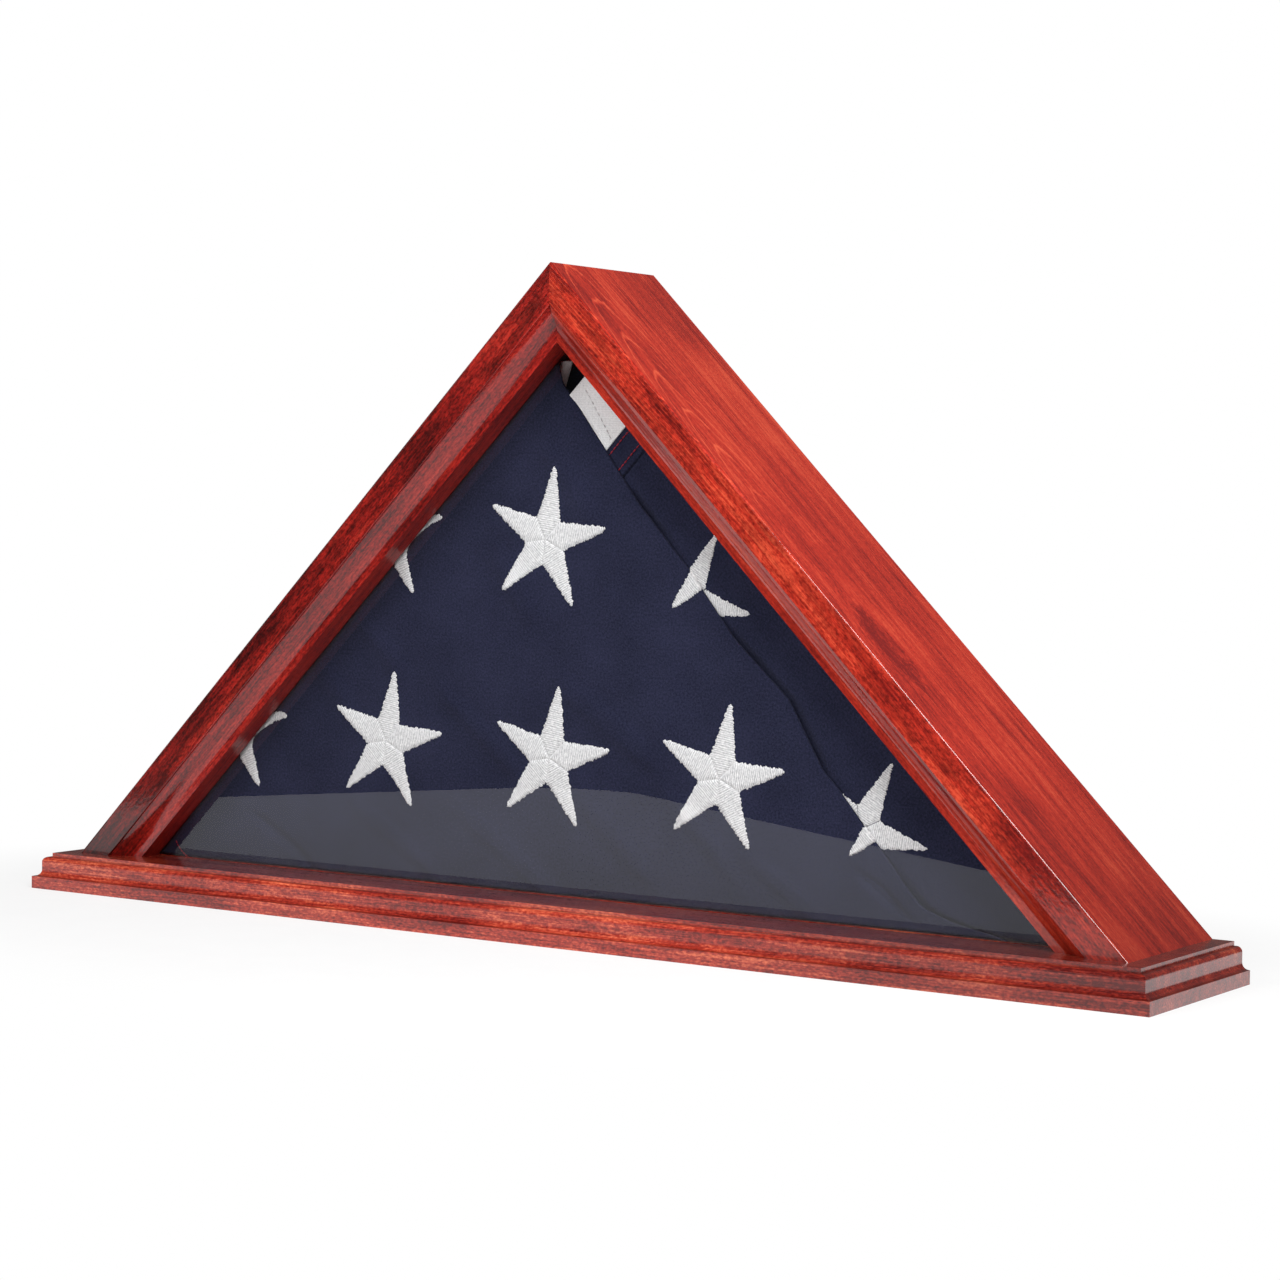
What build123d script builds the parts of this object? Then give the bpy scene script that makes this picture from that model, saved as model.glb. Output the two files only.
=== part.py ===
"""Triangular display case for a folded flag, on a moulded plinth.

Millimetres. The origin is the centre of the plinth's underside, +Z is up, +X runs along the
plinth and -Y is the glazed front. "Inset" is a distance measured square to a sloping outer face,
into the case, and "depth" is a distance behind the front edge of the two side boards.
"""

from build123d import *
import math
import os

os.makedirs("parts", exist_ok=True)

# ---- driving dimensions -------------------------------------------------------------------
case_width = 673.0  # foot to foot, over the outer faces of the side boards
case_depth = 98.4
board_thickness = 15.9
outer_arris_radius = 1.1
inner_arris_radius = 0.4
plinth_thickness = 20.6
plinth_overhang = 20.0  # past the case at the front and at both ends; the back is flush

rebate_width = 6.0  # rebate in the back edge of the boards, for the back panel
rebate_depth = 5.0
panel_thickness = 4.0
panel_setback = 0.8  # back panel's outer face, in from the back edge of the boards
panel_clearance = 0.4
panel_corner_radius = 1.5
lining_thickness = 1.0
lining_margin = 1.0  # of the lining inside the boards and above the cleat

moulding_setback = 1.2
moulding_step = 0.3  # flat between the board and the ogee
ogee_end_slope = 22  # degrees, where the ogee starts and where it ends
moulding_inner_inset = 29.5
moulding_fillet_inset = 25.2
moulding_fillet_depth = 7.8
moulding_depth = 21.5  # where the back of the moulding bears on the glass

glass_thickness = 2.4
glass_inset = 17.4
glass_groove_depth = 3.0
glass_groove_clearance = 0.4
glass_groove_end_gap = 1.0
glass_end = 311.0  # half width where the pane's sharp lower corners are cut off
stop_width = 8.0
stop_depth = 8.0

cleat_height = 12.0
cleat_depth = 12.0
cleat_end_gap = 0.3
arris_radius = 2.0  # eased inner arrises of the cleat and the glass stops

flag_inset = 24.6
flag_gap = 0.5
flag_corner_radius = 5.0
flag_front_edge = 2.0
flag_back_edge = 6.0
heading_insets = (30.0, 62.0)  # of the strip's two long edges, from the right-hand slope
heading_stations = (40.0, 83.0)  # of its two ends, along that slope from the apex
heading_thickness = 1.2

spline_width = 12.0
spline_length = 72.0
spline_thickness = 3.0
spline_drop = 13.5  # below the apex

button_length = 26.0
button_wide_radius = 4.5
button_tip_radius = 3.3
button_edge_radius = 0.4
button_thickness = 1.2
button_gap = 0.15
button_hole_clearance = 0.06
button_slope_stations = (110.0, 360.0)  # along a slope, from the apex
button_plinth_stations = (-165.0, 165.0)
button_plinth_height = 12.5

button_screw_radius = 1.5
button_screw_length = 14.0
button_screw_head_radius = 3.2
button_screw_head_height = 1.8
button_screw_head_round = 1.2
recess_length = 3.4
recess_width = 0.7
recess_depth = 0.9

wood_screw_radius = 2.0
wood_screw_head_radius = 4.0
wood_screw_head_angle = 82
wood_screw_sunk = 0.6
foot_screw_bite = 13.0
cleat_screw_bite = 9.0
foot_screw_half_width = 317.6
foot_screw_depths = (22.0, 76.0)
cleat_screw_stations = (-220.0, 0.0, 220.0)

brad_radius = 0.65
brad_head_radius = 1.0
brad_head_height = 0.5
brad_tip_inset = 7.0
brad_stations = (60.0, 230.0, 400.0)  # along a slope, from the apex

# ---- worked out from them -----------------------------------------------------------------
half_width = case_width / 2
apex_height = plinth_thickness + half_width  # the outer slopes are at 45 degrees
slope_length = half_width * math.sqrt(2)
plinth_width = case_width + 2 * plinth_overhang
plinth_depth = case_depth + plinth_overhang
case_front = -plinth_depth / 2 + plinth_overhang
case_back = plinth_depth / 2
panel_outer = case_depth - panel_setback
panel_inner = panel_outer - panel_thickness
rebate_shoulder = case_depth - rebate_depth
panel_inset = board_thickness - rebate_width + panel_clearance
glass_front = moulding_depth
glass_back = glass_front + glass_thickness
stop_inset = board_thickness + stop_width
flag_front = glass_back + flag_gap
flag_back = rebate_shoulder - cleat_depth - flag_gap
screw_inset = (board_thickness - rebate_width) / 2
button_plane = case_depth + button_gap
head_plane = button_plane + button_thickness + button_gap
moulding_outer_flat = board_thickness + moulding_step
ogee_middle_inset = (moulding_outer_flat + moulding_fillet_inset) / 2
ogee_middle_depth = (moulding_setback + moulding_fillet_depth) / 2
ogee_start = (math.cos(math.radians(ogee_end_slope)), math.sin(math.radians(ogee_end_slope)))
lining_inset = board_thickness + lining_margin
lining_foot = plinth_thickness + cleat_height + lining_margin


# ---- planes and outlines that several pieces share ----------------------------------------
def facing_front(depth):
    """A plane that looks out of the front, at a depth behind the boards' front edge."""
    return Plane.XZ.offset(-(case_front + depth))


def into_case(length):
    """Extrudes the pending sketch on a facing_front plane towards the back."""
    extrude(amount=-length)


def slope_outline(inset, foot):
    """A triangle whose two slopes are parallel to the case's outer faces."""
    reach = apex_height - inset * math.sqrt(2)
    Polygon((foot - reach, foot), (reach - foot, foot), (0, reach), align=None)


# Across the right-hand board: local x is the inset and local y is the depth.
slope_section = Plane(
    origin=(half_width / 2, case_front, plinth_thickness + half_width / 2),
    x_dir=(-1, 0, -1),
    z_dir=(1, 0, -1),
)
down_slope = Axis((0, 0, 0), (1, 0, -1))
outward = Axis((0, 0, 0), (1, 0, 1))


def on_slope(station, inset, depth):
    """A point on the right-hand slope, by its distance from the apex along the slope."""
    across = (station - inset) / math.sqrt(2)
    down = (station + inset) / math.sqrt(2)
    return (across, case_front + depth, apex_height - down)


def run_along_slope():
    """Extrudes the pending section along the right slope and mitres its ends."""
    extrude(amount=slope_length, both=True)
    split(bisect_by=Plane.YZ, keep=Keep.TOP)
    split(bisect_by=Plane.XY.offset(plinth_thickness), keep=Keep.TOP)


def cross_recess(plane, head_height):
    """Cuts a cross recess down from the top of a screw head."""
    with BuildSketch(plane.offset(head_height)) as cross:
        Rectangle(recess_length, recess_width)
        Rectangle(recess_width, recess_length)
    extrude(cross.sketch, amount=-recess_depth, mode=Mode.SUBTRACT)


def finish(builder, name):
    """Labels a finished piece and writes it."""
    builder.part.label = name
    export_step(builder.part, f"parts/{name}.step")


def bored(builder, places, radius, length):
    """Straight holes, each a place whose local -z runs down the hole."""
    with builder:
        for place in places:
            with Locations(place):
                Cylinder(
                    radius,
                    length,
                    align=(Align.CENTER, Align.CENTER, Align.MAX),
                    mode=Mode.SUBTRACT,
                )


# ---- fastener places ----------------------------------------------------------------------
foot_screw_places = [
    Location((side * foot_screw_half_width, case_front + depth, 0), (180, 0, 0))
    for side in (-1, 1)
    for depth in foot_screw_depths
]
cleat_screw_places = [
    Location((x, case_front + rebate_shoulder - cleat_depth / 2, 0), (180, 0, 0))
    for x in cleat_screw_stations
]
slope_button_points = [on_slope(s, screw_inset, case_depth) for s in button_slope_stations]
plinth_button_points = [(x, case_back, button_plinth_height) for x in button_plinth_stations]
right_screw_planes = [Plane(origin=p, x_dir=(1, 0, -1), z_dir=(0, 1, 0)) for p in slope_button_points]
plinth_screw_planes = [Plane(origin=p, x_dir=(1, 0, 0), z_dir=(0, 1, 0)) for p in plinth_button_points]


def brad_places(inset, depth):
    """Brads through a strip whose inner face is at the inset, square to the right slope."""
    return [
        Plane(origin=on_slope(s, inset, depth), x_dir=(0, 1, 0), z_dir=(-1, 0, -1)).location
        for s in brad_stations
    ]


moulding_brad_depth = (moulding_fillet_depth + moulding_depth) / 2
stop_brad_depth = glass_back + stop_depth / 2
moulding_brads_right = brad_places(moulding_inner_inset, moulding_brad_depth)
stop_brads_right = brad_places(stop_inset, stop_brad_depth)

# ---- plinth: one board, moulded on its front edge and both ends ----------------------------
# Height above the underside against how far the edge stands out past the case.
band_top = 7.1
band_lip = 0.6  # flat between the band and the cove
cove_radius = 3.6
riser_out = plinth_overhang - cove_radius - band_lip
riser_top = 15.4
round_radius = 3.0
ledge_height = riser_top + round_radius
fillet_out = 11.5


def moulded_edge(face_x, inner_x):
    """Half outline of the plinth's section, with the moulded edge out past face_x."""
    with BuildLine() as outline:
        foot = Line((inner_x, 0), (face_x + plinth_overhang, 0))
        band = Line(foot @ 1, (face_x + plinth_overhang, band_top))
        lip = Line(band @ 1, (face_x + plinth_overhang - band_lip, band_top))
        cove = RadiusArc(lip @ 1, (face_x + riser_out, band_top + cove_radius), cove_radius)
        riser = Line(cove @ 1, (face_x + riser_out, riser_top))
        bead = RadiusArc(riser @ 1, (face_x + riser_out - round_radius, ledge_height), -round_radius)
        ledge = Line(bead @ 1, (face_x + fillet_out, ledge_height))
        fillet_up = Line(ledge @ 1, (face_x + fillet_out, plinth_thickness))
        top = Line(fillet_up @ 1, (inner_x, plinth_thickness))
        Line(top @ 1, foot @ 0)
    make_face(outline.edges())


with BuildPart() as base_plinth:
    # The end-to-end section, swept from front to back
    with BuildSketch(Plane.XZ) as ends:
        moulded_edge(half_width, 0)
        mirror(about=Plane.YZ)
    extrude(amount=plinth_depth / 2, both=True)
    # and the front-to-back section, swept from end to end, mitre where they cross
    right_end = Plane(origin=(plinth_width / 2, 0, 0), x_dir=(0, -1, 0), z_dir=(-1, 0, 0))
    with BuildSketch(right_end):
        moulded_edge(-case_front, -case_back)
    extrude(amount=plinth_width, mode=Mode.INTERSECT)
    # Groove that the pane stands in
    groove_depth_middle = glass_front + glass_thickness / 2
    with BuildSketch(Plane.XY.offset(plinth_thickness)):
        with Locations((0, case_front + groove_depth_middle)):
            Rectangle(2 * (glass_end + glass_groove_end_gap), glass_thickness + 2 * glass_groove_clearance)
    extrude(amount=-glass_groove_depth, mode=Mode.SUBTRACT)
    # Countersunk screw holes from underneath
    sinks = [p * Location((0, 0, -wood_screw_sunk)) for p in foot_screw_places + cleat_screw_places]
    with Locations(*sinks):
        CounterSinkHole(
            radius=wood_screw_radius,
            counter_sink_radius=wood_screw_head_radius,
            depth=plinth_thickness,
            counter_sink_angle=wood_screw_head_angle,
        )
bored(base_plinth, [p.location for p in plinth_screw_planes], button_screw_radius, button_screw_length)
finish(base_plinth, "base_plinth")

# ---- side boards: mitred at the apex, cut at 45 degrees at the feet ------------------------
with BuildPart() as right_side_board:
    with BuildSketch(slope_section):
        Rectangle(board_thickness, case_depth, align=Align.MIN)
        with Locations((board_thickness, case_depth)):
            Rectangle(rebate_width, rebate_depth, align=Align.MAX, mode=Mode.SUBTRACT)
    run_along_slope()
    # Both front arrises are eased
    front_arrises = edges().filter_by(down_slope).group_by(Axis.Y)[0]
    fillet(front_arrises.sort_by(outward)[-1], outer_arris_radius)
    front_arrises = edges().filter_by(down_slope).group_by(Axis.Y)[0]
    fillet(front_arrises.sort_by(outward)[0], inner_arris_radius)
    # Half of the slot for the hidden spline
    with Locations((0, case_front + case_depth / 2, apex_height - spline_drop)):
        Box(spline_width, spline_length, spline_thickness, mode=Mode.SUBTRACT)
bored(
    right_side_board,
    [Location((p.position.X, p.position.Y, plinth_thickness), (180, 0, 0)) for p in foot_screw_places[2:]],
    wood_screw_radius,
    foot_screw_bite,
)
bored(right_side_board, [p.location for p in right_screw_planes], button_screw_radius, button_screw_length)
bored(right_side_board, moulding_brads_right, brad_radius, moulding_inner_inset - brad_tip_inset)
bored(right_side_board, stop_brads_right, brad_radius, stop_inset - brad_tip_inset)
finish(right_side_board, "right_side_board")

with BuildPart() as left_side_board:
    mirror(right_side_board.part, about=Plane.YZ)
finish(left_side_board, "left_side_board")

# ---- spline glued across the apex mitre ---------------------------------------------------
with BuildPart() as mitre_spline:
    with Locations((0, case_front + case_depth / 2, apex_height - spline_drop)):
        Box(spline_width, spline_length, spline_thickness)
finish(mitre_spline, "mitre_spline")

# ---- ogee mouldings inside the front edge, which frame the glass ---------------------------
with BuildPart() as right_front_moulding:
    with BuildSketch(slope_section):
        with BuildLine():
            back = Line((board_thickness, moulding_depth), (board_thickness, moulding_setback))
            flat = Line(back @ 1, (moulding_outer_flat, moulding_setback))
            bead = TangentArc(flat @ 1, (ogee_middle_inset, ogee_middle_depth), tangent=ogee_start)
            cove = TangentArc(bead @ 1, (moulding_fillet_inset, moulding_fillet_depth), tangent=bead % 1)
            fillet_line = Line(cove @ 1, (moulding_inner_inset, moulding_fillet_depth))
            wall = Line(fillet_line @ 1, (moulding_inner_inset, moulding_depth))
            Line(wall @ 1, back @ 0)
        make_face()
    run_along_slope()
bored(right_front_moulding, moulding_brads_right, brad_radius, moulding_inner_inset)
bored(right_front_moulding, moulding_brads_right, brad_head_radius, brad_head_height)
finish(right_front_moulding, "right_front_moulding")

with BuildPart() as left_front_moulding:
    mirror(right_front_moulding.part, about=Plane.YZ)
finish(left_front_moulding, "left_front_moulding")

# ---- glass and the two stops that hold it against the mouldings ----------------------------
glass_foot = plinth_thickness - glass_groove_depth + glass_groove_clearance
with BuildPart() as glass_pane:
    with BuildSketch(facing_front(glass_front)):
        slope_outline(glass_inset, glass_foot)
        with Locations((0, glass_foot)):
            Rectangle(2 * glass_end, apex_height, align=(Align.CENTER, Align.MIN), mode=Mode.INTERSECT)
    into_case(glass_thickness)
finish(glass_pane, "glass_pane")

with BuildPart() as right_glass_stop:
    with BuildSketch(slope_section):
        with Locations((board_thickness, glass_back)):
            Rectangle(stop_width, stop_depth, align=Align.MIN)
    run_along_slope()
    stop_arris = edges().filter_by(down_slope).group_by(Axis.Y)[-1]
    fillet(stop_arris.sort_by(outward)[0], arris_radius)
bored(right_glass_stop, stop_brads_right, brad_radius, moulding_inner_inset)
bored(right_glass_stop, stop_brads_right, brad_head_radius, brad_head_height)
finish(right_glass_stop, "right_glass_stop")

with BuildPart() as left_glass_stop:
    mirror(right_glass_stop.part, about=Plane.YZ)
finish(left_glass_stop, "left_glass_stop")


# ---- brads: one group for the mouldings and one for the glass stops ------------------------
def brad_group(places, inner_inset):
    """Headed brads from the strip's inner face to their tips in the board, on both slopes."""
    hung = (Align.CENTER, Align.CENTER, Align.MAX)
    for place in places:
        with Locations(place):
            Cylinder(brad_radius, inner_inset - brad_tip_inset, align=hung)
            Cylinder(brad_head_radius, brad_head_height, align=hung)
    mirror(about=Plane.YZ)


with BuildPart() as moulding_brads:
    brad_group(moulding_brads_right, moulding_inner_inset)
finish(moulding_brads, "moulding_brads")

with BuildPart() as stop_brads:
    brad_group(stop_brads_right, stop_inset)
finish(stop_brads, "stop_brads")

# ---- cleat across the back of the plinth, which the back panel's foot bears on -------------
with BuildPart() as rear_cleat:
    with BuildSketch(facing_front(rebate_shoulder - cleat_depth)):
        slope_outline(board_thickness + cleat_end_gap, plinth_thickness)
        with Locations((0, plinth_thickness)):
            Rectangle(case_width, cleat_height, align=(Align.CENTER, Align.MIN), mode=Mode.INTERSECT)
    into_case(cleat_depth)
    fillet(edges().filter_by(Axis.X).group_by(Axis.Z)[-1].sort_by(Axis.Y)[0], arris_radius)
bored(
    rear_cleat,
    [Location((p.position.X, p.position.Y, plinth_thickness), (180, 0, 0)) for p in cleat_screw_places],
    wood_screw_radius,
    cleat_screw_bite,
)
finish(rear_cleat, "rear_cleat")

# ---- removable back panel and its black lining --------------------------------------------
with BuildPart() as back_panel:
    with BuildSketch(facing_front(panel_inner)):
        slope_outline(panel_inset, plinth_thickness + panel_clearance)
    into_case(panel_thickness)
    fillet(edges().filter_by(Axis.Y), panel_corner_radius)
finish(back_panel, "back_panel")

with BuildPart() as back_lining:
    with BuildSketch(facing_front(panel_inner - lining_thickness)):
        slope_outline(lining_inset, lining_foot)
    into_case(lining_thickness)
finish(back_lining, "back_lining")


# ---- turn buttons: a plate on a screw, lying along the frame until it is turned ------------
def turn_button(pivot, along):
    """A tapered plate with its hole near the wide end. It points along the frame's edge."""
    plane = Plane(origin=pivot, x_dir=along, z_dir=(0, 1, 0)).offset(button_gap)
    reach = button_length - button_wide_radius - button_tip_radius
    with BuildSketch(plane) as plate:
        Circle(button_wide_radius)
        with Locations((reach, 0)):
            Circle(button_tip_radius)
        make_hull()
        Circle(button_screw_radius + button_hole_clearance, mode=Mode.SUBTRACT)
    extrude(plate.sketch, amount=button_thickness)
    rim = faces().sort_by(Axis.Y)[-1].outer_wire().edges()
    fillet(rim, button_edge_radius)


button_sites = []
for pivot in slope_button_points:
    button_sites.append((pivot, (1, 0, -1)))
    button_sites.append(((-pivot[0], pivot[1], pivot[2]), (-1, 0, -1)))
for pivot in plinth_button_points:
    button_sites.append((pivot, (math.copysign(1, -pivot[0]), 0, 0)))
for number, (pivot, along) in enumerate(button_sites, 1):
    with BuildPart() as button:
        turn_button(pivot, along)
    finish(button, f"turn_button_{number}")

with BuildPart() as turn_button_screws:
    for pivot, along in button_sites:
        seat = Plane(origin=pivot, x_dir=along, z_dir=(0, 1, 0))
        shank_length = button_screw_length + head_plane - case_depth
        with BuildSketch(seat.offset(-button_screw_length)):
            Circle(button_screw_radius)
        extrude(amount=shank_length)
        with BuildSketch(seat.offset(head_plane - case_depth)):
            Circle(button_screw_head_radius)
        extrude(amount=button_screw_head_height)
    fillet(faces().filter_by(Plane.XZ).group_by(Axis.Y)[-1].edges(), button_screw_head_round)
    for pivot, along in button_sites:
        seat = Plane(origin=pivot, x_dir=along, z_dir=(0, 1, 0)).offset(head_plane - case_depth)
        cross_recess(seat, button_screw_head_height)
finish(turn_button_screws, "turn_button_screws")


# ---- wood screws from under the plinth ----------------------------------------------------
def wood_screws(places, bite):
    """Countersunk screws: the head's face is a little inside the plinth's underside."""
    half_angle = math.radians(wood_screw_head_angle / 2)
    head_height = (wood_screw_head_radius - wood_screw_radius) / math.tan(half_angle)
    hung = (Align.CENTER, Align.CENTER, Align.MAX)
    shank = plinth_thickness + bite - wood_screw_sunk
    for place in places:
        head = place * Location((0, 0, -wood_screw_sunk))
        with Locations(head):
            Cylinder(wood_screw_radius, shank, align=hung)
            Cone(wood_screw_radius, wood_screw_head_radius, head_height, align=hung)
        cross_recess(Plane(head), 0)


with BuildPart() as foot_screws:
    wood_screws(foot_screw_places, foot_screw_bite)
finish(foot_screws, "foot_screws")

with BuildPart() as cleat_screws:
    wood_screws(cleat_screw_places, cleat_screw_bite)
finish(cleat_screws, "cleat_screws")

# ---- folded flag: a soft wedge that fills the case, and its canvas heading -----------------
def heading_strip():
    """Draws the heading on the flag's front face, along the right-hand slope."""
    middle = on_slope(sum(heading_stations) / 2, sum(heading_insets) / 2, flag_front)
    strip_plane = Plane(origin=middle, x_dir=(1, 0, -1), z_dir=(0, -1, 0))
    with BuildSketch(strip_plane) as strip:
        Rectangle(heading_stations[1] - heading_stations[0], heading_insets[1] - heading_insets[0])
    return strip.sketch


with BuildPart() as folded_flag:
    with BuildSketch(facing_front(flag_front)):
        slope_outline(flag_inset, plinth_thickness)
        fillet(vertices(), flag_corner_radius)
    into_case(flag_back - flag_front)
    fillet(faces().filter_by(Plane.XZ).sort_by(Axis.Y)[-1].edges(), flag_back_edge)
    fillet(faces().filter_by(Plane.XZ).sort_by(Axis.Y)[0].edges(), flag_front_edge)
    # The pocket that the heading lies in
    extrude(heading_strip(), amount=-heading_thickness, mode=Mode.SUBTRACT)
finish(folded_flag, "folded_flag")

with BuildPart() as flag_heading:
    extrude(heading_strip(), amount=-heading_thickness)
finish(flag_heading, "flag_heading")
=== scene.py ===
"""Looks for a folded flag display case.

Stained cherry boards, glass, brass, and the folded flag behind the glass.
"""

import math
import random

import bmesh
import bpy
import numpy as np
from mathutils import Matrix, Vector, noise


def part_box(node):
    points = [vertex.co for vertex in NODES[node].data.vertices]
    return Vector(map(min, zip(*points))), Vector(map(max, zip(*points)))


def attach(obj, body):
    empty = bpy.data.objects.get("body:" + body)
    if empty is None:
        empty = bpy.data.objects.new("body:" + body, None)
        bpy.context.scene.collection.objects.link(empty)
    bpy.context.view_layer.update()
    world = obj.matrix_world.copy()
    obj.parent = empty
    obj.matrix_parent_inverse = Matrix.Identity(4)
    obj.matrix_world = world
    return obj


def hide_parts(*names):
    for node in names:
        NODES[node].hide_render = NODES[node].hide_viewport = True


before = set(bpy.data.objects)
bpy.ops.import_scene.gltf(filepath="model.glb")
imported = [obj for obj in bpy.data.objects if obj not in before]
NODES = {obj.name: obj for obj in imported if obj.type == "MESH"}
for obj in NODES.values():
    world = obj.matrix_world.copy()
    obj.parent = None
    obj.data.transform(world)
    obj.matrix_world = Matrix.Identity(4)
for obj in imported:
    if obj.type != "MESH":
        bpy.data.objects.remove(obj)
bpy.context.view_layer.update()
MM = 0.001
HALF = math.sqrt(0.5)  # the slopes stand at 45 degrees

# ---------------------------------------------------------------- places, from the frame
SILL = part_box("base_plinth")[1].z
CASE_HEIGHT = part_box("left_side_board")[1].z - SILL
GLASS_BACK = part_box("glass_pane")[1].y
FLAG_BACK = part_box("folded_flag")[1].y

# ---------------------------------------------------------------- driving sizes of the flag
CLOTH = 0.45 * MM  # thickness of the nylon
UPPER_PLANE = GLASS_BACK + 1.6 * MM  # front of the upper layer
FOLD_RADIUS = 0.9 * MM  # of the upper layer's free edge
LOWER_PLANE = UPPER_PLANE + 2 * FOLD_RADIUS + 0.7 * MM  # front of the lower layer
LEFT_ROLL = 6.2 * MM  # radius at which the upper layer turns round the pack
LEFT_ROLL_STARTS = 31.2 * MM  # inset of the line where it starts to turn
RIGHT_ROLL = 11 * MM  # the same two sizes for the lower layer
RIGHT_ROLL_STARTS = 36.5 * MM
ROLL_SHOWS = 1.9  # radii of cloth round a roll that can be seen from the front
TUCK = 22 * MM  # cloth folded under at a fold edge
SILL_GAP = 0.4 * MM  # between the cloth's lower edge and the plinth
CREASE_LIMITS = (-1.4 * MM, 1.1 * MM)  # how far the upper layer may sink and rise
STAR_TIP = 39.6 * MM  # from a star's centre to its tips and to its notches
STAR_NOTCH = 13.3 * MM
STAR_TURN = math.radians(9)
LOWER_STAR_TURN = math.radians(27.7)
ARM_LOFT = 0.85 * MM  # how far an arm's satin stitch stands off the cloth
RAGGED_EDGE = 1.2 * MM  # how uneven the stitches' ends are
HEADING_ENDS = (45.5 * MM, 83 * MM)  # along the right slope from the apex
HEADING_LIFT = 1.15 * MM  # of the heading off the lower layer
HEM_ENDS = (80 * MM, 100 * MM)
HEM_LIFT = 0.55 * MM
HEM_SEAMS = (86 * MM, 96 * MM)
STITCH_LIFT = 1.15 * MM  # of the hem's stitches off the lower layer
CURL_CUT = (10.2 * MM, 21 * MM)  # width and length of the heading's folded-back corner


# ---------------------------------------------------------------- small helpers
def mesh_object(name, points, faces, smooth=True):
    mesh = bpy.data.meshes.new(name)
    mesh.from_pydata([tuple(p) for p in points], [], [tuple(f) for f in faces])
    mesh.validate()
    mesh.polygons.foreach_set("use_smooth", [smooth] * len(mesh.polygons))
    made = bpy.data.objects.new(name, mesh)
    bpy.context.scene.collection.objects.link(made)
    return made


def grid_faces(rows, columns, closed=False):
    """Faces of a grid whose points are stored row by row.

    A closed grid joins its last column to its first.
    """
    faces = []
    for row in range(rows - 1):
        for column in range(columns if closed else columns - 1):
            here = row * columns + column
            after = row * columns + (column + 1) % columns
            faces.append((here, after, after + columns, here + columns))
    return faces


def moved(faces, by):
    """The same faces, for points that are stored `by` places later."""
    return [tuple(by + i for i in face) for face in faces]


def set_flat(made, flat):
    """Keeps the flat cloth's coordinates, in metres, as a UV map for the weave."""
    layer = made.data.uv_layers.new(name="flat")
    flat = np.asarray(flat, float)
    for loop in made.data.loops:
        layer.data[loop.index].uv = flat[loop.vertex_index]


def smoothstep(low, high, value):
    """0 below low and 1 above high, with an easy slope between them."""
    share = np.clip((np.asarray(value, float) - low) / (high - low), 0, 1)
    return share * share * (3 - 2 * share)


def wavy(x, y, scale, seed):
    """Smooth noise on a plane, from about -1 to 1."""
    return noise.noise((x * scale, y * scale, seed))


def flat_area(flat, faces):
    """Area of the flat cloth, in square metres."""
    total = 0.0
    for face in faces:
        corners = [flat[i] for i in face]
        pairs = zip(corners, corners[1:] + corners[:1])
        total += 0.5 * abs(sum(a[0] * b[1] - b[0] * a[1] for a, b in pairs))
    return total


def thicken(made, thickness=CLOTH):
    solid = made.modifiers.new("thickness", "SOLIDIFY")
    solid.thickness = thickness
    solid.offset = -1
    return made


def dress(made, material, slot_name, body="root"):
    """Gives a piece its material and its body."""
    made.data.materials.clear()
    made.data.materials.append(material)
    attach(made, body)
    return made


# ---------------------------------------------------------------- shader helpers
OBJECT, NORMAL = 3, 1  # outputs of a texture coordinate node
CAMERA_RAY, GLOSSY_RAY = 0, 3  # outputs of a light path node
SMOOTH = {"interpolation_type": "SMOOTHSTEP"}


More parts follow.
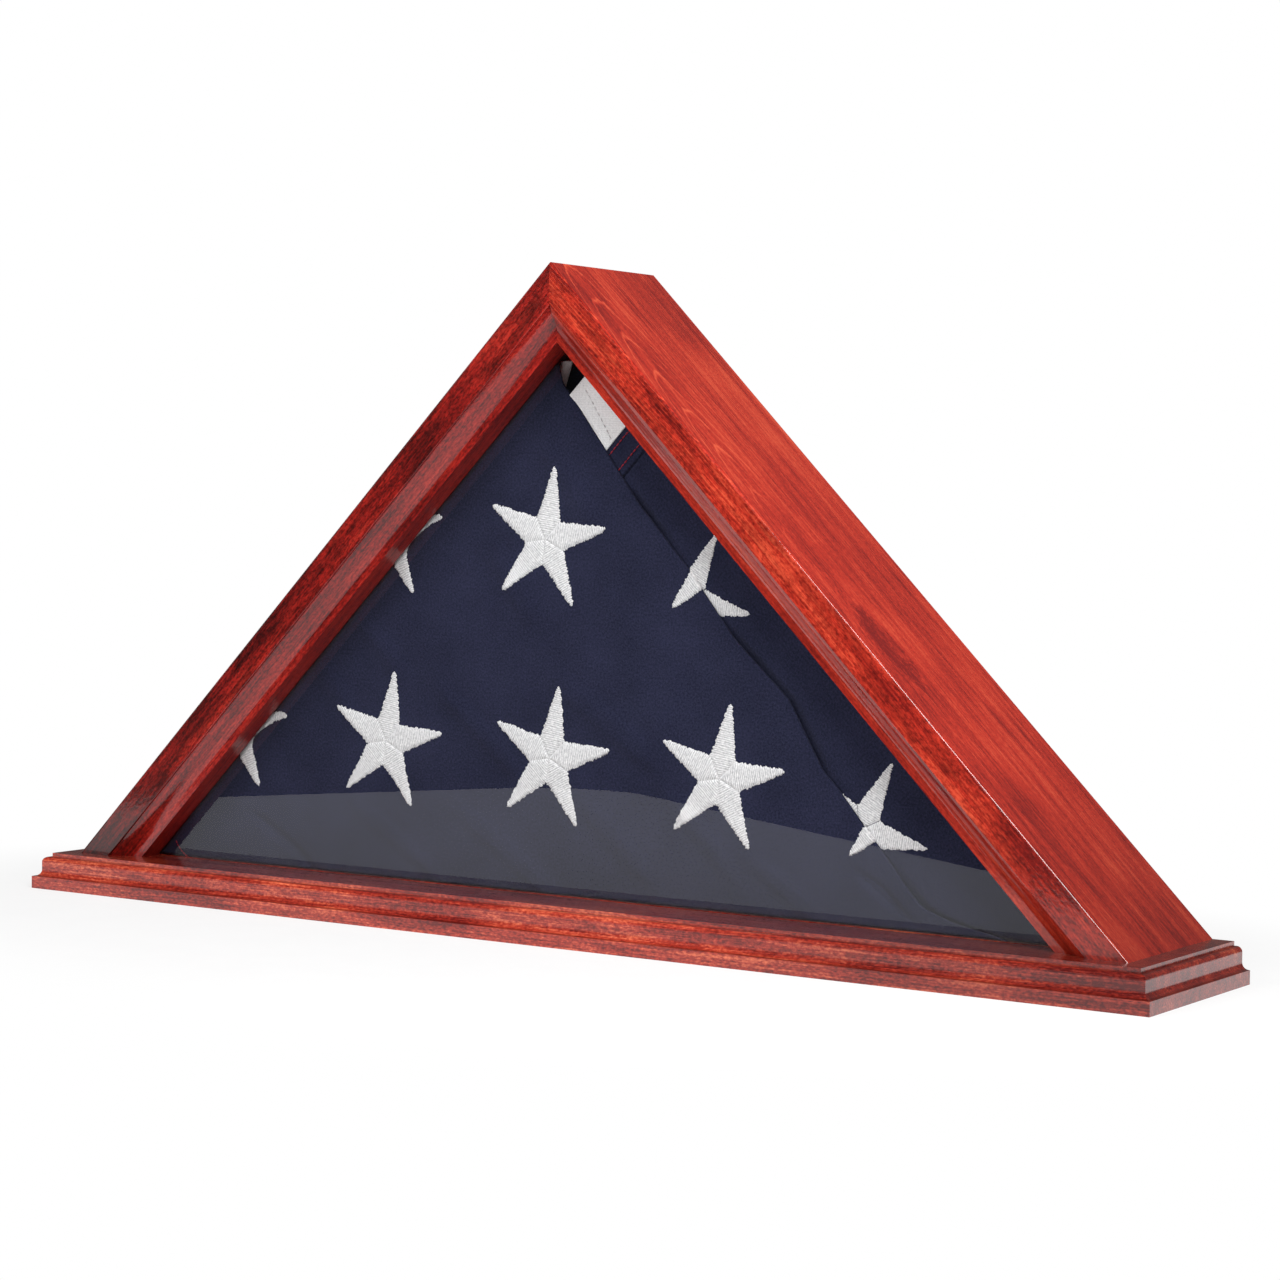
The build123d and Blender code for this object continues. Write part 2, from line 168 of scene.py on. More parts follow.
class Tree:
    """A node tree being built: each call adds a node and returns its main output."""

    def __init__(self, tree):
        self.tree = tree

    def add(self, kind, output=0, settings=None, **inputs):
        """Adds a node. Inputs go by name, or by number as i0, i1 and so on."""
        node = self.tree.nodes.new("ShaderNode" + kind)
        for key, value in (settings or {}).items():
            setattr(node, key, value)
        for key, value in inputs.items():
            numbered = key[0] == "i" and key[1:].isdigit()
            socket = node.inputs[int(key[1:])] if numbered else node.inputs[key.replace("_", " ")]
            self.feed(socket, value)
        return node.outputs[output]

    def feed(self, socket, value):
        if isinstance(value, bpy.types.NodeSocket):
            self.tree.links.new(value, socket)
        else:
            socket.default_value = value

    def noise(self, vector, scale, detail=4.0, rough=0.55, distortion=0.0):
        return self.add(
            "TexNoise", Vector=vector, Scale=scale, Detail=detail, Roughness=rough, Distortion=distortion
        )

    def math(self, how, a, b=0.0, c=0.0):
        return self.add("Math", 0, {"operation": how}, i0=a, i1=b, i2=c)

    def length(self, vector):
        return self.add("VectorMath", 1, {"operation": "LENGTH"}, i0=vector)

    def shoved(self, vector, push, reach):
        """The vector, moved by push times reach."""
        return self.add("VectorMath", 0, {"operation": "MULTIPLY_ADD"}, i0=push, i1=reach, i2=vector)

    def axes(self, vector):
        """The three parts of a vector."""
        node = self.tree.nodes.new("ShaderNodeSeparateXYZ")
        self.feed(node.inputs[0], vector)
        return node.outputs

    def span(self, value, low, high, to_low, to_high, settings=None):
        """The value's place between low and high, carried over to the range from to_low to to_high."""
        return self.add(
            "MapRange", 0, settings, Value=value, From_Min=low, From_Max=high, To_Min=to_low, To_Max=to_high
        )

    def ramp(self, factor, *stops):
        """Runs through colours. A stop is a place and a colour, or a place and one grey level."""
        node = self.tree.nodes.new("ShaderNodeValToRGB")
        elements = node.color_ramp.elements
        while len(elements) < len(stops):
            elements.new(0.5)
        for element, (place, colour) in zip(elements, stops):
            element.position = place
            element.color = (*colour, 1) if isinstance(colour, tuple) else (colour, colour, colour, 1)
        self.feed(node.inputs[0], factor)
        return node.outputs[0]

    def mix(self, factor, a, b):
        """Colour a, multiplied by colour b as far as factor says."""
        node = self.tree.nodes.new("ShaderNodeMix")
        node.data_type = "RGBA"
        node.blend_type = "MULTIPLY"
        for socket, value in zip((0, 6, 7), (factor, a, b)):
            self.feed(node.inputs[socket], value)
        return node.outputs[2]

    def blend(self, factor, first, second):
        """The first shader where factor is 0 and the second where it is 1."""
        return self.add("MixShader", i0=factor, i1=first, i2=second)

    def bump(self, height, strength, distance):
        return self.add("Bump", Height=height, Strength=strength, Distance=distance)

    def stretch(self, vector, scale):
        return self.add("Mapping", Vector=vector, Scale=scale)

    def shifted(self, vector, shift):
        return self.add("Mapping", Vector=vector, Location=shift)

    def along(self, turn=0.0):
        """Object coordinates turned about Y, so that X runs along a board."""
        return self.add("Mapping", Vector=self.add("TexCoord", OBJECT), Rotation=(0.0, turn, 0.0))


class Nodes(Tree):
    """A material being built."""

    def __init__(self, name):
        self.material = bpy.data.materials.new(name)
        self.material.use_nodes = True
        super().__init__(self.material.node_tree)
        self.shader = self.tree.nodes["Principled BSDF"]

    def finish(self, **inputs):
        """Sets the surface's inputs and returns the material."""
        for key, value in inputs.items():
            self.feed(self.shader.inputs[key.replace("_", " ")], value)
        return self.material

    def cover(self, surface):
        """Lets another shader be the surface, and returns the material."""
        self.tree.links.new(surface, self.tree.nodes["Material Output"].inputs["Surface"])
        return self.material


# ---------------------------------------------------------------- wood
def knot_swirl(n, along, local, knot):
    """How far inside the knot a place is, and how the grain is pushed about there."""
    away = n.shifted(along, (-knot[0], -knot[1], 0.0))
    swirl = n.span(n.length(n.stretch(away, (0.45, 1.0, 0.0))), 0.018, 0.0, 0.0, 1.0, SMOOTH)
    eddy = n.noise(n.stretch(local, (45.0, 90.0, 90.0)), 1.0, 2.0)
    push = n.math("MULTIPLY", swirl, n.math("SUBTRACT", eddy, 0.3))
    return swirl, n.add("CombineXYZ", X=push, Y=push, Z=push)


def growth_rings(n, along, local, station):
    """Thin pale lines round the pith, which fade down the board."""
    sway = n.noise(n.stretch(local, (14.0, 60.0, 60.0)), 1.0, 3.0)
    heart = n.add("Mapping", Vector=along, Rotation=(0.0, 0.06, 0.0), Location=PITH)
    rings = n.add(
        "TexWave", 1, {"wave_type": "RINGS", "rings_direction": "X", "wave_profile": "SAW"},
        Vector=n.shoved(heart, sway, (0.0, 0.006, 0.002)),
        Scale=190.0, Distortion=0.6, Detail=1.0, Detail_Scale=0.8,
    )
    late = n.ramp(rings, (0.80, 0.0), (0.93, 1.0), (1.0, 0.0))
    return n.math("MULTIPLY", late, n.span(station, -0.14, -0.04, 1.0, 0.25, SMOOTH))


def stained_wood(
    name, turn, shift, deep, body, light, mottle,
    speckle=0.1, figure=0.0, knot=None, recess=1.0, ledge=1.0, foot=1.0, gloss=0.05,
):
    """Cherry-stained hardwood under gloss lacquer.

    turn lays the grain along the board and shift takes it from another part of the tree. mottle is how
    blotchy the edges took the stain and speckle is the grit of open pores. figure shows the growth rings
    and knot is a place along and across the board. Painted shade darkens the colour by recess on the
    faces that look into the case, by ledge on those that look up, and by foot towards the lower end of a
    slope or the right end of the plinth. gloss is the lacquer's roughness.
    """
    n = Nodes(name)
    along = n.along(turn)
    station = n.axes(along)[0]
    facing = n.axes(n.add("TexCoord", NORMAL))
    edge = n.math("ABSOLUTE", facing[1])  # 1 on the faces that look to the front and back
    local = n.shifted(along, shift)
    warp = n.noise(n.stretch(local, (6.0, 30.0, 30.0)), 1.0, 2.0)
    bent = n.shoved(local, warp, (0.0, 0.005, 0.005))
    if knot:
        swirl, shove = knot_swirl(n, along, local, knot)
        bent = n.shoved(bent, shove, (0.05, 0.05, 0.05))
    fibre = n.noise(n.stretch(bent, (26.0, 1100.0, 1100.0)), 1.0, 5.0, 0.62)
    streak = n.noise(n.stretch(bent, (7.0, 170.0, 170.0)), 1.0, 4.0, 0.6)
    cloud = n.noise(n.stretch(bent, (13.0, 32.0, 32.0)), 1.0, 3.0, 0.55)
    blotch = n.noise(n.stretch(local, (38.0, 210.0, 210.0)), 1.0, 4.0, 0.7, 0.4)
    fleck = n.noise(n.stretch(local, (420.0, 900.0, 900.0)), 1.0, 2.0, 0.6)
    grain = n.math("MULTIPLY_ADD", fibre, 0.40, n.math("MULTIPLY", cloud, 0.30))
    grain = n.math("MULTIPLY_ADD", streak, 0.30, grain)
    grain = n.math("MULTIPLY_ADD", n.math("SUBTRACT", fleck, 0.5), speckle, grain)
    if figure:
        grain = n.math("MULTIPLY_ADD", growth_rings(n, along, local, station), 0.17 * figure, grain)
    if knot:
        grain = n.math("MULTIPLY_ADD", swirl, -0.10, grain)
    colour = n.ramp(grain, (0.40, deep), (0.53, body), (0.68, light))

    worn = n.math("MULTIPLY_ADD", edge, 0.92, 0.08)
    patches = n.ramp(blotch, (0.36, 1.0 - mottle), (0.60, 1.0))
    flecks = n.ramp(fleck, (0.34, 1.0 - 0.8 * mottle), (0.56, 1.0))
    colour = n.mix(worn, colour, n.mix(1.0, patches, flecks))

    # Painted shade: faces that look up are darker by ledge.
    red = shade = n.span(facing[2], 0.80, 0.97, 1.0, ledge)
    coat = 1.0
    # Painted shade: darker towards the lower end of a slope, or the right end of the plinth, by foot.
    if foot < 1:
        down = n.math("MULTIPLY", station, -1.0 if turn > 0 else 1.0)
        red = shade = n.math("MULTIPLY", shade, n.span(down, 0.08, 0.235, 1.0, foot, SMOOTH))
    # Painted shade: the faces that look into the case lose red by recess, and carry a thinner coat.
    if recess < 1:
        red = n.math("MULTIPLY", shade, n.span(edge, 0.1, 0.5, recess, 1.0))
        coat = n.span(edge, 0.1, 0.5, 0.15, 1.0)
    colour = n.mix(1.0, colour, n.add("CombineColor", Red=red, Green=shade, Blue=shade))
    return n.finish(
        Base_Color=colour, Roughness=n.math("MULTIPLY_ADD", fibre, 0.16, 0.24),
        Normal=n.bump(n.math("ADD", fibre, fleck), 0.10 + 0.3 * speckle, 0.3 * MM),
        Coat_Normal=n.bump(fleck, 0.06 + 0.35 * speckle, 0.3 * MM),
        Coat_Weight=coat, Coat_Roughness=gloss, Coat_IOR=1.5, Specular_IOR_Level=0.2,
    )


def raw_wood(name):
    n = Nodes(name)
    fibre = n.noise(n.stretch(n.along(), (30.0, 700.0, 700.0)), 1.0, 5.0)
    colour = n.ramp(fibre, (0.3, (0.36, 0.22, 0.11)), (0.7, (0.62, 0.45, 0.28)))
    return n.finish(Base_Color=colour, Roughness=0.7, Normal=n.bump(fibre, 0.2, 0.3 * MM))


def fibre_board(name):
    """Brown hardboard with its fine pressed fibres, stained to go with the case."""
    n = Nodes(name)
    where = n.along()
    fibres = n.noise(where, 900.0, 6.0, 0.7, 0.8)
    clouds = n.noise(where, 22.0, 3.0)
    colour = n.ramp(
        fibres, (0.25, (0.075, 0.030, 0.018)), (0.55, (0.17, 0.075, 0.045)), (0.8, (0.27, 0.13, 0.08))
    )
    colour = n.mix(0.5, colour, n.ramp(clouds, (0.3, 0.6), (0.7, 1.0)))
    rough = n.math("MULTIPLY_ADD", fibres, 0.2, 0.42)
    return n.finish(Base_Color=colour, Roughness=rough, Normal=n.bump(fibres, 0.25, 0.2 * MM))


# ---------------------------------------------------------------- glass, metal and cloth
def clear_glass():
    """A thin pane: what is behind shows through, and its front mirrors a few percent of what is before it."""
    n = Nodes("pane_glass")
    geometry = n.tree.nodes.new("ShaderNodeNewGeometry")
    outside = n.math("SUBTRACT", 1.0, geometry.outputs["Backfacing"])
    mirror = n.math("MULTIPLY", n.add("Fresnel", IOR=1.52), outside)
    through = n.add("BsdfTransparent", Color=(0.985, 0.985, 0.985, 1))
    gloss = n.add("BsdfGlossy", Color=(1, 1, 1, 1), Roughness=0.0)
    material = n.cover(n.blend(mirror, through, gloss))
    n.tree.nodes.remove(n.shader)
    return material


def metal(name, colour, rough):
    n = Nodes(name)
    scratch = n.noise(n.stretch(n.along(), (400.0, 400.0, 4000.0)), 1.0, 4.0)
    tint = n.ramp(scratch, (0.2, tuple(0.82 * c for c in colour)), (0.8, colour))
    return n.finish(
        Base_Color=tint, Metallic=1.0, Roughness=n.math("MULTIPLY_ADD", scratch, 0.18, rough),
        Normal=n.bump(scratch, 0.06, 0.1 * MM),
    )


def woven(name, dark, light, pitch, rough=0.85, sheen=0.25, relief=0.35):
    """Plain weave at its real pitch on the flat cloth, with slubs and a little unevenness in the dye."""
    n = Nodes(name)
    flat = n.add("UVMap", 0, {"uv_map": "flat"})
    turns = 2 * math.pi / pitch
    warp, weft = (n.math("SINE", n.math("MULTIPLY", part, turns)) for part in n.axes(flat)[:2])
    weave = n.math("MULTIPLY_ADD", n.math("MULTIPLY", warp, weft), 0.5, 0.5)
    slub = n.noise(n.stretch(flat, (850.0, 850.0, 1.0)), 1.0, 4.0, 0.75)
    dye = n.noise(flat, 22.0, 3.0)
    shade = n.math("MULTIPLY_ADD", slub, 0.9, n.math("MULTIPLY", dye, 0.30))
    shade = n.math("MULTIPLY_ADD", weave, 0.28, shade)
    height = n.math("MULTIPLY_ADD", weave, 0.6, slub)
    return n.finish(
        Base_Color=n.ramp(shade, (0.55, dark), (0.95, light)), Roughness=rough,
        Normal=n.bump(height, relief, 0.25 * MM),
        Sheen_Weight=sheen, Sheen_Roughness=0.5, Specular_IOR_Level=0.12,
    )


def embroidery(name, dark, light, pitch):
    """Satin stitch: threads side by side across each arm, at one pitch, each a little different."""
    n = Nodes(name)
    stitch = n.add("UVMap", 0, {"uv_map": "flat"})
    lay = n.noise(n.stretch(stitch, (350.0, 90.0, 1.0)), 1.0, 2.0)
    drift = n.math("MULTIPLY_ADD", lay, 1.6 * MM, n.axes(stitch)[0])
    satin = n.math("SINE", n.math("MULTIPLY", drift, 2 * math.pi / pitch))
    satin = n.math("MULTIPLY_ADD", satin, 0.5, 0.5)
    uneven = n.noise(n.stretch(stitch, (1100.0, 520.0, 1.0)), 1.0, 4.0, 0.8)
    shade = n.math("MULTIPLY_ADD", satin, 0.30, n.math("MULTIPLY_ADD", uneven, 1.5, -0.32))
    height = n.math("MULTIPLY_ADD", uneven, 0.7, satin)
    return n.finish(
        Base_Color=n.ramp(shade, (0.28, dark), (0.80, light)), Roughness=0.5,
        Normal=n.bump(height, 0.45, 0.3 * MM), Sheen_Weight=0.15, Specular_IOR_Level=0.45,
    )


def velvet(name):
    n = Nodes(name)
    pile = n.noise(n.along(), 2600.0, 3.0)
    colour = n.ramp(pile, (0.3, (0.004, 0.004, 0.005)), (0.7, (0.012, 0.012, 0.014)))
    return n.finish(
        Base_Color=colour, Roughness=0.95, Normal=n.bump(pile, 0.4, 0.2 * MM),
        Sheen_Weight=0.08, Specular_IOR_Level=0.1,
    )


def thread(name, dark, light):
    n = Nodes(name)
    twist = n.noise(n.along(), 2400.0, 2.0)
    colour = n.ramp(twist, (0.3, dark), (0.7, light))
    return n.finish(Base_Color=colour, Roughness=0.55, Normal=n.bump(twist, 0.3, 0.1 * MM))


SLOPE = math.radians(45)
PITH = (0.0, 0.021, -0.227)  # what moves the right board's pith to the middle of its rings
CHERRY = {"deep": (0.22, 0.008, 0.006), "body": (0.53, 0.030, 0.014), "light": (0.78, 0.105, 0.045)}
DARK_CHERRY = {"deep": (0.10, 0.004, 0.004), "body": (0.34, 0.012, 0.008), "light": (0.56, 0.040, 0.022)}
PLINTH_CHERRY = {"deep": (0.14, 0.007, 0.006), "body": (0.44, 0.038, 0.021), "light": (0.90, 0.20, 0.09)}
NAVY = woven("navy_nylon", (0.0045, 0.006, 0.019), (0.031, 0.034, 0.077), 0.55 * MM, 0.8, 0.06)
CANVAS = woven("heading_canvas", (0.78, 0.78, 0.79), (1.0, 1.0, 1.0), 1.3 * MM, 0.9, 0.1, 0.8)
WHITE_STITCH = embroidery("star_embroidery", (0.42, 0.42, 0.44), (0.93, 0.93, 0.93), 1.15 * MM)
RED_THREAD = thread("red_thread", (0.24, 0.008, 0.02), (0.50, 0.015, 0.035))
WHITE_THREAD = thread("white_thread", (0.62, 0.62, 0.64), (0.88, 0.88, 0.88))


def dress_case():
    """Gives the CAD nodes their materials."""
    # foot, ledge and recess below paint shade into the colour: darker towards a slope's foot or the plinth's
    # right end, on faces that look up, and on faces that look into the case.
    wood = {
        "right_side_board": stained_wood(
            "cherry_right_board", -SLOPE, (0.31, 0.012, 0.075), mottle=0.42, speckle=0.2, figure=1.0,
            knot=(0.0185, -0.0217), foot=0.66, **CHERRY,
        ),
        "left_side_board": stained_wood(
            "cherry_left_board", SLOPE, (1.7, 0.05, 0.061), mottle=0.72, foot=0.45, **DARK_CHERRY
        ),
        "right_front_moulding": stained_wood(
            "cherry_right_moulding", -SLOPE, (2.2, 0.31, 0.4), mottle=0.3, foot=0.75, **CHERRY
        ),
        "left_front_moulding": stained_wood(
            "cherry_left_moulding", SLOPE, (3.1, 0.12, 0.33), mottle=0.35, speckle=0.3, recess=0.72,
            **DARK_CHERRY,
        ),
        "base_plinth": stained_wood(
            "cherry_plinth", 0.0, (4.3, 0.07, 0.048), mottle=0.16, speckle=0.36, ledge=0.5, foot=0.66,
            gloss=0.14, **PLINTH_CHERRY,
        ),
        "right_glass_stop": stained_wood(
            "cherry_right_stop", -SLOPE, (5.2, 0.2, 0.1), mottle=0.4, **DARK_CHERRY
        ),
        "left_glass_stop": stained_wood(
            "cherry_left_stop", SLOPE, (6.1, 0.1, 0.2), mottle=0.4, **DARK_CHERRY
        ),
        "rear_cleat": stained_wood("cherry_cleat", 0.0, (7.7, 0.3, 0.1), mottle=0.4, **DARK_CHERRY),
    }
    # Painted shade: recess darkens the putty's faces that look into the case.
    putty = stained_wood("stained_putty", 0.0, (8.8, 0.1, 0.1), mottle=0.2, recess=0.72, **DARK_CHERRY)
    brass = metal("brass_plate", (0.80, 0.58, 0.26), 0.24)
    steel = metal("zinc_steel", (0.62, 0.62, 0.64), 0.30)
    plain = {
        "mitre_spline": raw_wood("spline_wood"),
        "glass_pane": clear_glass(),
        "back_panel": fibre_board("panel_hardboard"),
        "back_lining": velvet("lining_velvet"),
        "moulding_brads": putty,
        "stop_brads": putty,
        "cleat_screws": steel,
        "foot_screws": steel,
    }
    buttons = {node: brass for node in NODES if node.startswith("turn_button_")}
    for node, material in {**wood, **plain, **buttons}.items():
        for slot in NODES[node].material_slots:
            slot.material = material


# ---------------------------------------------------------------- how the cloth lies
def inset(x, h, side):
    """Distance in from the case's outer slope on that side (+1 right), for x and height above the sill."""
    return (CASE_HEIGHT - side * x - h) * HALF


def on_slope(station, depth_in):
    """x and height of the point that far along the right slope from the apex and that far in from it."""
    return (station - depth_in) * HALF, CASE_HEIGHT - (station + depth_in) * HALF


def turned(past, radius):
    """How far out and back cloth is, `past` the line where it starts round a roll, and its angle."""
    angle = np.clip(past / radius, 0, math.pi)
    beyond = np.maximum(past - math.pi * radius, 0)
    out = np.where(past > 0, radius * np.sin(angle) - beyond, past)
    return out, radius * (1 - np.cos(angle)), angle


FOLD_LINE = [  # x and height of the upper layer's free edge, from the sill up, in millimetres
    (262, 0), (246, 3.1), (229.3, 6.5), (218.1, 10.2), (212.5, 12.7), (206.7, 18.2), (190.8, 37),
    (163, 68.9), (154.5, 77), (133.6, 112), (100.6, 141.8), (71.6, 177.4), (39.7, 211), (18, 239.5),
    (-2.6, 266), (-9.6, 274), (-12.5, 283.5), (-14, 290),
]
LOWER_STARS = [(71, 161.2), (176.2, 48.1)]  # centres on the flat lower layer
CREASES = [  # soft folds in the upper layer: ends in x and height, half-width and rise, in millimetres
    ((-223, 28.2), (-181.2, -0.4), 2.6, -1.6), ((-146, 143), (-118, 113), 6, 1.0),
    ((-146, 38), (-92, 3), 4.5, 1.2), ((-86, 104), (-36, 62), 5, 1.2), ((-74, 41), (-10, -4), 5, 1.3),
    ((-8, 113), (52, 72), 6, 1.1), ((117, 26), (154, -2), 4.5, 1.2), ((8, 50), (50, 11), 5, 1.2),
    ((-181, 122), (-150, 84), 6, 1.0), ((-52, 181), (-30, 148), 7, 0.9), ((60, 60), (104, 14), 5, 0.9),
    ((-20, 240), (10, 200), 8, 0.9), ((178, 26), (204, 3), 2.6, -1.6),
]


def fold_x(h):
    """Where the upper layer's free edge is at height h. It runs straight on below the sill."""
    heights = [p[1] * MM for p in FOLD_LINE]
    places = [p[0] * MM for p in FOLD_LINE]
    below = max(0.0, -h) * (places[0] - places[1]) / (heights[1] - heights[0])
    return float(np.interp(h, heights, places)) + below


def crease_rise(x, h):
    """How far the creases lift the cloth towards the glass."""
    total = 0.0
    for (ax, ah), (bx, bh), width, rise in CREASES:
        run = np.array([bx - ax, bh - ah]) * MM
        offset = np.array([x - ax * MM, h - ah * MM])
        length = math.hypot(*run)
        share = float(offset @ run) / length**2
        across = (run[0] * offset[1] - run[1] * offset[0]) / length
        ends = float(smoothstep(-0.25, 0.25, share) * (1 - smoothstep(0.75, 1.25, share)))
        curl = across - 2.5 * MM * math.sin(2.4 * share)
        total += rise * MM * ends * math.exp(-((curl / (width * MM)) ** 2))
    return total


def upper_rise(x, h):
    """How far the upper layer stands off its plane towards the glass."""
    slack = 0.45 * MM * wavy(x, h, 26.0, 3.1) + 0.22 * MM * wavy(x, h, 70.0, 7.7)
    lowest, highest = CREASE_LIMITS
    return min(max(1.3 * crease_rise(x, h) + slack, lowest), highest)


def on_upper(x, h, lift=0.0):
    """The place on the upper layer of the point at x and h on the flat cloth, lifted off its face."""
    right_out, right_back, right_angle = turned(np.array(x - fold_x(h)), FOLD_RADIUS)
    x_now = fold_x(h) + float(right_out)
    past = LEFT_ROLL_STARTS - inset(x_now, h, -1)
    left_out, left_back, left_angle = turned(np.array(past), LEFT_ROLL)
    slide = (float(left_out) - past) * HALF
    flat_share = 1 - float(smoothstep(0, 0.6, left_angle))
    y = UPPER_PLANE + float(right_back) + float(left_back) - upper_rise(x, h) * flat_share
    lean = HALF * math.sin(left_angle)
    facing = np.array([math.sin(right_angle) - lean, -math.cos(left_angle) * math.cos(right_angle), lean])
    facing /= np.linalg.norm(facing)
    return np.array([x_now - slide, y, SILL + h + slide]) + lift * facing


def lower_rise(station, depth_in):
    """How far the lower layer stands off its plane, with a groove where the hem ends."""
    slack = 0.5 * MM * wavy(station, depth_in, 30.0, 11.3) + 0.2 * MM * wavy(station, depth_in, 80.0, 5.2)
    groove = 0.5 * MM * math.exp(-(((station - HEM_ENDS[1] - 0.4 * MM) / (0.6 * MM)) ** 2))
    return slack - groove


def fold_dip(x, h):
    """How far the lower layer sinks beside the upper layer's free edge. The stiff stars hold it up."""
    if h <= 0:
        return 0.0
    stars = max(math.exp(-((math.hypot(x - a * MM, h - b * MM) / (34 * MM)) ** 4)) for a, b in LOWER_STARS)
    hem_end = HEM_ENDS[1]
    below_hem = float(smoothstep(hem_end + 4 * MM, hem_end + 16 * MM, (x - h + CASE_HEIGHT) * HALF))
    return 1.8 * MM * below_hem * (1 - stars) * (1 - float(smoothstep(0, 7 * MM, x - fold_x(h))))


def on_lower(station, depth_in, lift=0.0):
    """The place on the lower layer of the point at that station and inset on the flat cloth."""
    out, back, angle = turned(np.array(RIGHT_ROLL_STARTS - depth_in), RIGHT_ROLL)
    x, h = on_slope(station, RIGHT_ROLL_STARTS - float(out))
    nearer = 0.4 * MM * float(smoothstep(70 * MM, 40 * MM, depth_in)) - fold_dip(x, h)
    flat_share = 1 - float(smoothstep(0, 0.6, angle))
    y = LOWER_PLANE - nearer + float(back) - lower_rise(station, depth_in) * flat_share
    facing = np.array([HALF * math.sin(angle), -math.cos(angle), HALF * math.sin(angle)])
    return np.array([x, y, SILL + h]) + lift * facing


# ---------------------------------------------------------------- the flag's layers
def upper_layer():
    """The top layer, which rolls round the pack's left edge. Its free edge is turned under."""
    rows, across, round_fold = 190, 234, 26
    top = 285 * MM
    points, flat = [], []
    for row in range(rows):
        h = SILL_GAP + (top - SILL_GAP) * row / (rows - 1)
        left = -(CASE_HEIGHT - h - LEFT_ROLL_STARTS / HALF) - (math.pi * LEFT_ROLL + TUCK) / HALF
        right = fold_x(h) + math.pi * FOLD_RADIUS + TUCK * min(1.0, (top - h) / (40 * MM))
        bends = fold_x(h) - 1.5 * MM
        inner = np.linspace(left, bends, across)
        outer = np.linspace(bends, right, round_fold + 1)[1:]
        for x in np.concatenate([inner, outer]):
            points.append(on_upper(float(x), h))
            flat.append((float(x), h))
    for point in points:
        point[2] = max(point[2], SILL + SILL_GAP / 2)
    faces = grid_faces(rows, across + round_fold)
    made = thicken(mesh_object("flag_upper_layer", points, faces))
    set_flat(made, flat)
    return dress(made, NAVY, "navy_cloth"), flat, faces


def reach_down(depth_in):
    """The station where the lower layer meets the sill, at that inset on the flat cloth."""
    out = turned(np.array(RIGHT_ROLL_STARTS - depth_in), RIGHT_ROLL)[0]
    return CASE_HEIGHT / HALF - (RIGHT_ROLL_STARTS - float(out)) - 0.6 * MM


def slope_layer(name, stations, insets, lift, material, slot_name, trim=None):
    """A piece of cloth on the lower layer, cut along and across the right slope.

    lift gives its height off the layer. With trim, stations are shares of the way from there to the sill.
    """
    points, flat = [], []
    for share in stations:
        for depth_in in insets:
            station = trim + (reach_down(depth_in) - trim) * share if trim else share
            points.append(on_lower(station, depth_in, lift(station, depth_in)))
            flat.append((station, depth_in))
    faces = [tuple(reversed(f)) for f in grid_faces(len(stations), len(insets))]
    made = thicken(mesh_object(name, points, faces))
    set_flat(made, flat)
    return dress(made, material, slot_name), flat, faces


def lower_layer():
    """The layer below, which rolls round the pack's right edge."""
    insets = np.linspace(RIGHT_ROLL_STARTS - math.pi * RIGHT_ROLL - TUCK, 104 * MM, 110)
    shares = np.concatenate([np.linspace(0, 0.1, 60)[:-1], np.linspace(0.1, 1, 130)])

    def lift(station, depth_in):
        return 0.0

    return slope_layer("flag_lower_layer", shares, insets, lift, NAVY, "navy_cloth", trim=78 * MM)


def hem():
    """The facing sewn over the flag's edge, below the heading."""
    insets = np.linspace(28 * MM, 74 * MM, 50)

    def lift(station, depth_in):
        return HEM_LIFT

    return slope_layer("flag_hem", np.linspace(*HEM_ENDS, 24), insets, lift, NAVY, "navy_cloth")


def heading():
    """The canvas heading, whose loose end curls a little off the pack."""
    insets = np.linspace(30 * MM, 66 * MM, 48)
    start, end = HEADING_ENDS

    def lift(station, depth_in):
        loose = float(smoothstep(start + 9 * MM, start, station))
        return HEADING_LIFT + 0.5 * MM * loose + 0.15 * MM * wavy(station, depth_in, 90.0, 2.2)

    stations = np.linspace(start, end, 60)
    return slope_layer("flag_heading_canvas", stations, insets, lift, CANVAS, "white_cloth")


def heading_curl():
    """The heading's folded-back corner, standing up in the gap at the apex."""
    rows, columns = 26, 14
    foot_x, foot_h = -24.4, 266.5  # millimetres
    rise, lean, width = 20.0, 7.6, 7.8  # millimetres
    behind, bulge, forward = 9.0 * MM, 3.0 * MM, 1.5 * MM
    points, flat = [], []
    for row in range(rows):
        share = row / (rows - 1)
        for column in range(columns):
            across = column / (columns - 1)
            x = (foot_x + lean * share + width * across) * MM
            h = (foot_h + rise * share) * MM
            bow = math.sin(math.pi * across) * bulge + share * forward
            points.append((x, LOWER_PLANE + behind - bow, SILL + h))
            flat.append((across * CURL_CUT[0], share * CURL_CUT[1]))
    made = thicken(mesh_object("flag_heading_curl", points, grid_faces(rows, columns)))
    set_flat(made, flat)
    return dress(made, CANVAS, "white_cloth")


